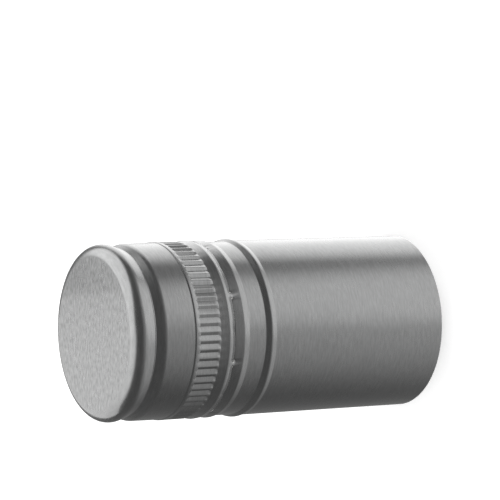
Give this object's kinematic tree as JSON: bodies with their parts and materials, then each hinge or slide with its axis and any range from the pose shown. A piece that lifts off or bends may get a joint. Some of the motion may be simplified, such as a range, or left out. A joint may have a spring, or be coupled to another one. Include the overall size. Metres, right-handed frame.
{
  "type": "bottle cap",
  "caption": "Long-skirted aluminium screw cap for a bottle, as supplied before roll-on, with a knurled grip, a slit with unbroken bridges, beads, a plain skirt and a foam liner.",
  "frame": {"origin": "centre of the open rim, on the surface that the cap stands on", "axes": "+Z along the cap's axis, from the open rim towards the crown; +X through the middle of one bridge of the slit"},
  "size_m": [0.0306, 0.0306, 0.06],
  "materials": {
    "cap_lacquer": "satin dark grey lacquer, finely brushed round the skirt",
    "liner_foam": "matte foam with a pale film"
  },
  "bodies": {
    "root": {"shell": "cap_lacquer", "sealing_liner": "liner_foam"}
  },
  "joints": []
}
